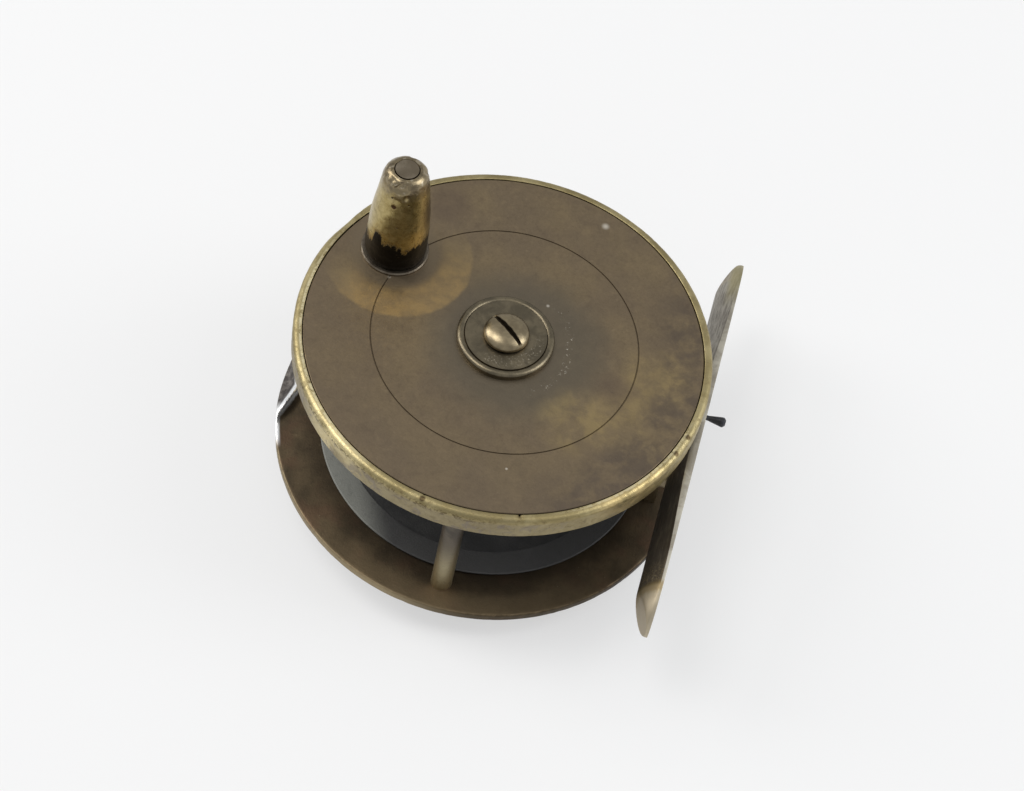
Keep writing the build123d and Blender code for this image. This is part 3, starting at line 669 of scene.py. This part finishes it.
def hub_bronze():
    """Even brown bronze of the raised disc, with pale flecks of dried polish round the screw, and a painted
    line of shade in the valley inside the bead.
    """
    p = Paint("hub_bronze")
    r = p.from_axis(0, 0)
    mottle = p.noise(0.9, 6, 0.7, 0.6)
    grain = p.noise(0.25, 3, 0.6)
    color = p.mix(p.step(p.noise(3, 5, 0.6, 0.5), 0.36, 0.66), metal(88, 81, 67), metal(108, 99, 81))
    color = p.mix(p.mul(p.step(mottle, 0.52, 0.68), 0.4), color, metal(76, 69, 57))
    where = p.mul(p.band(r, 4.3, 6.4, 0.3), p.step(p.toward(0.6, -0.8), 1, 4))
    flecks = p.mul(where, p.step(p.noise(0.35, 4, 0.7), 0.57, 0.65))
    color = p.mix(p.mul(flecks, 0.6), color, metal(156, 148, 134))
    # Painted shade: a thin dark line in the valley inside the bead.
    line = p.band(r, HUB_LINE_R / MM - 0.06, HUB_LINE_R / MM + 0.04, 0.04)
    color = p.mix(p.mul(line, 0.7), color, metal(44, 37, 30))
    roughness = p.add(0.28, p.mul(mottle, 0.08), p.mul(grain, 0.06), p.mul(flecks, 0.2))
    return p.finish(color, roughness, p.add(p.mul(mottle, 0.5), p.mul(grain, 0.3), p.mul(flecks, 0.5)), 0.025)


# Pieces

def plate_piece():
    """The winding plate with its engraved ring, very slightly uneven from use."""
    low, top, edge = PLATE_LOW.z, PLATE_HIGH.z, PLATE_HIGH.x
    half, depth = 0.12 * MM, 0.13 * MM
    ease = 0.1 * MM
    outline = [
        (SPOOL_BORE, top), (GROOVE_R - half, top), (GROOVE_R - half * 0.5, top - depth),
        (GROOVE_R + half * 0.5, top - depth), (GROOVE_R + half, top), (edge - ease, top),
        (edge, top - ease), (edge, low), (SPOOL_BORE, low),
    ]

    def worn(p):
        p.z -= 0.025 * MM * (1 + rough(p, 7 * MM)) * smooth(low, top, p.z)
        return p

    return lathe("worn_plate", dense(outline, 0.6 * MM), 540, worn=worn, sharp=30)


def rim_piece():
    """The front rim with its rounded edge, its ledge, a flattened stretch and some nicks."""
    low, top, out = RIM_LOW.z, RIM_HIGH.z, RIM_HIGH.x
    wall, round_r = 1.48 * MM, 0.95 * MM
    ledge_r, ledge_t = 28.95 * MM, 1.27 * MM
    inner = out - wall
    outline = [(out - 0.2 * MM, low), (out, low + 0.2 * MM)]
    outline += arc((out - round_r, top - round_r), round_r, 0, 90, 8)
    outline += arc((inner + 0.12 * MM, top - 0.12 * MM), 0.12 * MM, 90, 180, 3)
    outline += [(inner, low + ledge_t), (ledge_r, low + ledge_t), (ledge_r, low)]
    nicks = [(-71.5, 0.35, 0.5), (205, 0.5, 0.2)]
    nicks += [(degrees, 0.4, depth) for degrees, depth in zip(RIM_SPOTS, (0.12, 0.12, 0.15))]

    def worn(p):
        a = azimuth(p) % 360
        radial = Vector((p.x, p.y, 0)).normalized()
        outside = smooth(inner + 0.4 * MM, out, math.hypot(p.x, p.y))
        flat = 0.3 * MM * bump(a, 156, 6) * smooth(low, top, p.z)
        dents = 0.05 * MM * max(0, rough(p, 3 * MM)) + 0.03 * MM * max(0, rough(p, 0.8 * MM))
        p -= radial * (flat + dents) * outside
        for degrees, width, depth in nicks:
            turn = (a - degrees + 180) % 360 - 180
            inside = smooth(out - 0.6 * MM, inner, math.hypot(p.x, p.y))
            p.z -= depth * MM * bump(turn, 0, width) * smooth(top - 0.5 * MM, top, p.z) * inside
        return p

    return lathe("worn_rim", dense(outline, 0.4 * MM), 720, worn=worn, sharp=40)


def rear_plate_piece():
    """The back plate. A knock has turned up its edge on the side away from the foot."""
    low, top, out = REAR_LOW.z, REAR_HIGH.z, REAR_HIGH.x - 0.02 * MM
    hole = 12.6 * MM
    soft = 0.3 * MM
    outline = arc((out - soft, low + soft), soft, -90, 0, 4) + arc((out - soft, top - soft), soft, 0, 90, 4)
    outline += [(hole, top), (hole, low)]

    def worn(p):
        r = math.hypot(p.x, p.y)
        a = azimuth(p) % 360
        away = abs(a - math.degrees(KNOCK))
        crease = (CREASE_R + CREASE_SLANT * away + CREASE_BOW * away ** 2) * MM
        knock = smooth(171, 178, a) * (1 - smooth(190, 199, a))
        ridge = 1.3 * MM * bump(r, crease - 0.1 * MM, 1.0 * MM)
        fall = 0.35 * MM * smooth(crease + 0.4 * MM, crease + 2.4 * MM, r)
        p.z += (ridge - fall) * knock
        p.z += 0.03 * MM * rough(p, 5 * MM)
        worn_edge = 0.06 * MM * max(0, rough(p, 2 * MM)) * smooth(out - 1 * MM, out, r)
        return p - Vector((p.x, p.y, 0)).normalized() * worn_edge

    plate = lathe("worn_rear_plate", dense(outline, 0.3 * MM), 600, worn=worn, sharp=40)
    sink_r, sink_depth = 1.5 * MM, 0.7 * MM
    heads = [column(sink_r, low - 1 * MM, low + sink_depth, x, y) for x, y in SCREW_PLACES]
    cut(plate, *heads)
    return plate


def hub_piece():
    """The raised disc with its full round bead and a fine line inside the bead."""
    low, top, out = HUB_LOW.z, HUB_HIGH.z, HUB_HIGH.x
    bead_h, bead_w, bead_turn = 0.62 * MM, 0.7 * MM, 138.6
    disc_top = top - 0.02 * MM
    outline = [(out, low)]
    count = 18
    for i in range(count + 1):
        t = math.radians(bead_turn * i / count)
        outline.append((out - bead_w * (1 - math.cos(t)), low + bead_h * (1 + math.sin(t))))
    outline += [(HUB_LINE_R, disc_top - 0.2 * MM), (HUB_LINE_R - 0.04 * MM, disc_top)]
    outline += [(SPOOL_BORE, disc_top), (SPOOL_BORE, low)]

    def worn(p):
        p.z -= 0.02 * MM * (1 + rough(p, 2.5 * MM)) * smooth(low, top, p.z)
        return p

    return lathe("worn_hub_disc", dense(outline, 0.3 * MM), 240, worn=worn, sharp=35)


def screw_piece():
    """The domed centre screw. Its slot has been chewed by screwdrivers."""
    top = SCREW_HIGH.z
    head_r = SCREW_HIGH.x
    seat = top - SCREW_HEAD_H
    base = seat + SCREW_EDGE_H
    shank_r, end = 1.5 * MM, seat - 8 * MM
    outline = [(0, end), (shank_r, end), (shank_r, seat), (head_r - 0.25 * MM, seat)]
    count = 30
    for i in range(count + 1):
        t = TURN / 4 * i / count
        outline.append((head_r * math.cos(t) ** (2 / SCREW_FULLNESS), base + (top - base) * math.sin(t)))
    head = lathe("worn_centre_screw", outline, 128, sharp=40)
    half, depth, direction = 0.36 * MM, 0.95 * MM, math.radians(-37.0)
    wall = [(0.8, top - depth), (1, top - 0.35 * MM), (1.5, top + 0.3 * MM)]
    steps = 36
    verts = []
    for i in range(steps + 1):
        s = -1.2 * head_r + 2.4 * head_r * i / steps
        for sign, side in ((-1, wall), (1, wall[::-1])):
            ragged = half * (1 + 0.35 * noise.noise(Vector((s / (0.8 * MM), sign * 5, 0))))
            verts += [(s, sign * ragged * share, z) for share, z in side]
    slot = finish_mesh("slot_cutter", verts, sleeve(steps + 1, 2 * len(wall), False))
    slot.data.transform(Matrix.Rotation(direction, 4, "Z"))
    cut(head, slot)
    head.data.shade_smooth()
    head.data.set_sharp_from_angle(angle=math.radians(40))
    return head


def knob_piece():
    """The tapered knob: worn, pitted, with chips round its top edge."""
    low, top = KNOB_LOW.z, KNOB_HIGH.z
    base = (KNOB_HIGH.x - KNOB_LOW.x) / 2
    bore = 1.75 * MM
    seat = 2.0 * MM
    rim_low = top - 0.85 * MM
    taper = ((1.6, 0.01), (4, 0.03), (7, 0.13), (10, 0.3), (12, 0.5), (14, 0.72), (16, 1.0), (18.2, 1.25))
    shoulder = ((19.4, 3.9), (20.3, 3.62), (20.85, 3.2))
    start = PLATE_TOP
    outline = [(base - 0.15 * MM, low)]
    outline += [(base - drop * MM, start + height * MM) for height, drop in taper]
    outline += [(r * MM, start + height * MM) for height, r in shoulder]
    outline += [(2.7 * MM, top - 0.1 * MM), (seat + 0.15 * MM, top), (seat, top - 0.15 * MM)]
    outline += [(seat, rim_low), (bore, rim_low), (bore, low)]

    def worn(p):
        r = math.hypot(p.x, p.y)
        outside = smooth(bore + 0.3 * MM, base - 1.6 * MM, r)
        radial = Vector((p.x, p.y, 0)).normalized()
        wear = 0.05 * MM * (1 + rough(p, 2.5 * MM))
        high_up = smooth(start + 17 * MM, start + 19.5 * MM, p.z)
        chips = 0.4 * MM * smooth(0.0, 0.5, rough(p, 2.4 * MM, 2)) * high_up
        return p - radial * (wear + chips) * outside

    return lathe("worn_knob", dense(outline, 0.3 * MM), 200, (HANDLE.x, HANDLE.y), worn, sharp=50)


def flange_piece():
    """The rear flange of the spool, dented by years of line, with a slightly raised border."""
    low, top, out = FLANGE_LOW.z, FLANGE_HIGH.z, FLANGE_HIGH.x
    hole, border, dish = 4.4 * MM, FLANGE_BORDER, 0.14 * MM
    outline = [(hole, low), (out - 0.1 * MM, low), (out, low + 0.1 * MM), (out, top - 0.15 * MM)]
    outline += [(out - 0.15 * MM, top), (out - border, top), (out - border - 0.15 * MM, top - dish)]
    outline += [(hole, top - dish)]

    def worn(p):
        p.z -= 0.05 * MM * (1 + rough(p, 4 * MM)) * smooth(low, top, p.z)
        return p

    return lathe("worn_rear_flange", dense(outline, 0.5 * MM), 360, worn=worn, sharp=40)


def foot_half_width(t):
    """Half the foot's width at a share t of its half length."""
    shoulder = 0.7031
    if t < shoulder:
        return 1 - 0.0972 * (t / shoulder) ** 2
    s = (t - shoulder) / (1 - shoulder)
    return 0.9028 * (1 - 0.04 * s) * math.sqrt(max(0, 1 - s ** 2.3))


def foot_piece():
    """The foot: domed towards the reel, hollow towards the rod, with filed ends."""
    middle = (FOOT_LOW.z + FOOT_HIGH.z) / 2
    half = (FOOT_HIGH.z - FOOT_LOW.z) / 2
    reach = FOOT_HIGH.y
    outer, back = FOOT_HIGH.x, FOOT_LOW.x
    tip_t = 0.5 * MM
    slope = (outer - tip_t - back) / (reach - FILED_FROM)
    hollow, hollow_half, hollow_reach = 1.5 * MM, 6.4 * MM, 35 * MM
    stations, across = 220, 28

    def back_x(y, s, w):
        """The dome, or where it is filed away the slope, with a small soft step between them."""
        side_t = (1.35 - 0.9 * smooth(6, 29, abs(y) / MM)) * MM
        dome = back + (outer - side_t - back) * (s / w) ** 2
        filed = back + slope * (abs(y) - FILED_FROM)
        blend = 0.12 * MM
        return 0.5 * (dome + filed + math.sqrt((dome - filed) ** 2 + blend ** 2)) - blend * 0.2

    def front_x(y, s):
        """The hollow that fits the round of the rod."""
        depth = hollow * (1 - (s / hollow_half) ** 2) - hollow * (y / hollow_reach) ** 2
        return outer - max(0, depth)

    verts = []
    for i in range(stations + 1):
        u = -1 + 2 * i / stations
        t = math.copysign(math.sin(abs(u) * math.pi / 2) ** 0.9, u)
        y = t * reach
        w = max(0.02 * MM, half * foot_half_width(abs(t)))
        for j in range(across + 1):
            s = -w + 2 * w * j / across
            verts.append((back_x(y, s, w), y, middle + s))
        for j in range(across, -1, -1):
            s = -w + 2 * w * j / across
            verts.append((front_x(y, s), y, middle + s))
    blade = finish_mesh("worn_foot", verts, sleeve(stations + 1, 2 * (across + 1), False), 30)
    modifier = blade.modifiers.new("ease", "BEVEL")
    modifier.width = 0.12 * MM
    modifier.segments = 2
    modifier.limit_method = "ANGLE"
    modifier.angle_limit = math.radians(40)
    sink_r = (SINK_HIGH.y - SINK_LOW.y) / 2 + 0.02 * MM
    neck_r, deep, above = 0.72 * MM, 1.1 * MM, 2 * MM
    outline = [(0, -deep), (neck_r, -deep), (sink_r, 0), (sink_r, above), (0, above)]
    sink = lathe("cutter", outline, 64)
    sink.data.transform(Matrix.Rotation(math.radians(90), 4, "Y"))
    seat = (SINK_LOW + SINK_HIGH) / 2
    sink.data.transform(Matrix.Translation((SINK_HIGH.x - 0.01 * MM, seat.y, seat.z)))
    cut(blade, sink)
    blade.data.shade_smooth()
    blade.data.set_sharp_from_angle(angle=math.radians(40))
    return blade


# The scene

def place(piece, body, slot, material, *nodes):
    """Hangs a piece on a body in place of CAD nodes."""
    piece.data.materials.clear()
    piece.data.materials.append(material)
    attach(piece, body)
    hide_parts(*nodes)


def paint_nodes(material, *nodes):
    """Gives CAD nodes that are shown as they are a material."""
    for name in nodes:
        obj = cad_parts[name]
        obj.data.materials.clear()
        obj.data.materials.append(material)


def make_camera():
    """The view from in front and above, along a long lens."""
    right = Vector((0.95965, 0.24723, 0.1344))
    up = Vector((-0.27989, 0.78872, 0.5473))
    back = Vector((0.0293, -0.56284, 0.8261))
    camera = bpy.data.objects.new("camera", bpy.data.cameras.new("camera"))
    camera.data.lens = 85.92
    camera.data.sensor_width = 36
    camera.data.clip_start = 0.01
    rotation = Matrix((right, up, back)).transposed().to_4x4()
    camera.matrix_world = Matrix.Translation((0.01549, -0.23411, 0.3635)) @ rotation
    bpy.context.scene.collection.objects.link(camera)
    bpy.context.scene.camera = camera


def make_floor():
    """The reel leans a little: it rests on its axle nut and on the back plate's edge below the foot."""
    normal = Vector((-0.1302, -0.0335, 0.9909)).normalized()
    size, lowest = 3.0, -0.23 * MM
    mesh = bpy.data.meshes.new("floor")
    corners = [(-size, -size, 0), (size, -size, 0), (size, size, 0), (-size, size, 0)]
    mesh.from_pydata(corners, [], [(0, 1, 2, 3)])
    floor = bpy.data.objects.new("floor", mesh)
    tilt = normal.to_track_quat("Z", "Y").to_matrix().to_4x4()
    floor.matrix_world = Matrix.Translation(normal * lowest) @ tilt
    bpy.context.scene.collection.objects.link(floor)
    material = bpy.data.materials.new("floor")
    material.use_nodes = True
    shader = material.node_tree.nodes["Principled BSDF"]
    shader.inputs["Base Color"].default_value = (0.3, 0.3, 0.3, 1)
    shader.inputs["Emission Color"].default_value = (1, 1, 1, 1)
    shader.inputs["Emission Strength"].default_value = 0.54
    shader.inputs["Roughness"].default_value = 0.9
    shader.inputs["Specular IOR Level"].default_value = 0.1
    mesh.materials.append(material)


def make_light(name, direction, distance, size, power, color):
    """A soft light that shines on the reel from this direction."""
    data = bpy.data.lights.new(name, "AREA")
    data.shape = "RECTANGLE"
    data.size, data.size_y = size
    data.energy = power
    data.color = color
    lamp = bpy.data.objects.new(name, data)
    where = Vector(direction).normalized() * distance
    lamp.matrix_world = Matrix.Translation(where) @ where.to_track_quat("Z", "Y").to_matrix().to_4x4()
    bpy.context.scene.collection.objects.link(lamp)


def make_world(strength):
    """The even pale light of the studio."""
    world = bpy.data.worlds.new("studio")
    world.use_nodes = True
    background = world.node_tree.nodes["Background"]
    background.inputs["Color"].default_value = (0.95, 0.97, 1.0, 1)
    background.inputs["Strength"].default_value = strength
    bpy.context.scene.world = world


bpy.context.scene.view_settings.view_transform = "Standard"
make_camera()
make_floor()
warm, cool = (1.0, 0.985, 0.96), (0.97, 0.985, 1.0)
make_light("left_softbox", (-0.42, -0.04, 0.91), 0.8, (0.3, 0.35), 1.9, warm)
make_light("right_softbox", (0.6, 0.1, 0.79), 0.8, (0.4, 0.5), 1.3, cool)
make_light("low_left_softbox", (-0.84, 0.12, 0.52), 0.9, (0.4, 0.5), 3.2, warm)
make_light("low_right_softbox", (0.82, 0.14, 0.55), 0.9, (0.35, 0.5), 2.0, cool)
make_world(0.6)

bronze = plate_bronze()
gold = rim_brass()
stained = stained_brass()
foot_metal = foot_brass()
knob_metal = handle_brass()
dull = worn_metal("dull_brass", metal(122, 110, 86), metal(148, 136, 112), metal(96, 86, 74))
hub_metal = hub_bronze()
pillar_metal = pillar_brass()
pin_metal = worn_metal("pin_brass", metal(108, 98, 82), metal(140, 129, 112), metal(92, 82, 68), 0.28)
screw_metal = screw_bronze()
grey = flange_grey()
collar_metal = worn_metal("collar_bronze", metal(76, 68, 58), metal(104, 96, 84), metal(58, 50, 42), 0.36)
dark = worn_metal("dark_steel", metal(56, 57, 60), metal(74, 75, 78), metal(40, 39, 38), 0.35)

place(plate_piece(), "spool", "brown_bronze", bronze, "winding_plate")
place(rim_piece(), "cage", "gold_brass", gold, "front_rim")
place(rear_plate_piece(), "cage", "olive_brass", stained, "rear_plate")
place(hub_piece(), "spool", "brown_bronze", hub_metal, "hub_disc")
place(screw_piece(), "cage", "brown_bronze", screw_metal, "centre_screw")
place(knob_piece(), "handle", "gold_brass", knob_metal, "handle_knob")
place(flange_piece(), "spool", "worn_brass", grey, "rear_flange")
place(foot_piece(), "cage", "gold_brass", foot_metal, "foot")

paint_nodes(dull, "foot_block", "spool_bush", "axle_nut", "handle_washer")
paint_nodes(pillar_metal, "pillars")
paint_nodes(pin_metal, "handle_pin")
paint_nodes(stained, "check_cover")
paint_nodes(grey, "front_flange", "drum")
paint_nodes(collar_metal, "handle_collar")
paint_nodes(dark, "rear_cage_screws", "front_cage_screws", "foot_screw_short", "foot_screw_long",
            "cover_screws", "axle", "pawl_pivot", "spring_post", "check_spring", "pawl", "check_wheel")
